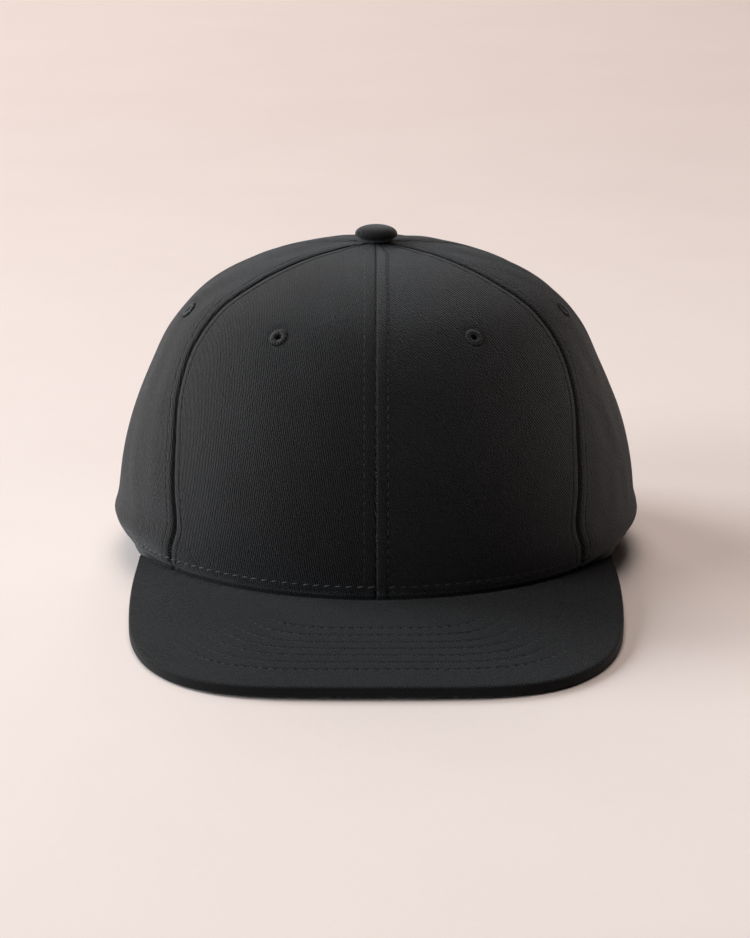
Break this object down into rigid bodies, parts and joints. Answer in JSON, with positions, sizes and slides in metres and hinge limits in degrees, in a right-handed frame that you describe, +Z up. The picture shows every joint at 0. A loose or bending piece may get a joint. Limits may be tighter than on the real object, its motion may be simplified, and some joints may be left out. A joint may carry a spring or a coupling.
{
  "type": "snapback cap",
  "caption": "Plain black structured panelled cap with a flat stitched brim, covered button, vent eyelets, sweatband and a plastic snap strap across a half-moon opening at the back.",
  "frame": {"origin": "bottom centre of the cap's box, on the surface that the back of the hem and the front of the brim rest on", "axes": "-Y the way the wearer looks and the brim points, +X the wearer's left, +Z up"},
  "size_m": [0.1924, 0.2608, 0.1204],
  "materials": {
    "crown_twill": "matte black cotton twill",
    "brim_twill": "matte black cotton twill with rows of stitching",
    "eyelet_thread": "black embroidery thread with a slight sheen",
    "sweatband_cloth": "plain woven black cotton",
    "strap_plastic": "satin black moulded plastic"
  },
  "bodies": {
    "root": {"front_panel_left": "crown_twill", "front_panel_right": "crown_twill", "side_panel_left": "crown_twill", "side_panel_right": "crown_twill", "back_panel_left": "crown_twill", "back_panel_right": "crown_twill", "crown_button": "crown_twill", "eyelet_front_left": "eyelet_thread", "eyelet_front_right": "eyelet_thread", "eyelet_side_left": "eyelet_thread", "eyelet_side_right": "eyelet_thread", "eyelet_back_left": "eyelet_thread", "eyelet_back_right": "eyelet_thread", "brim": "brim_twill", "sweatband": "sweatband_cloth", "snap_strap_holes": "strap_plastic", "snap_strap_pegs": "strap_plastic"}
  },
  "joints": []
}
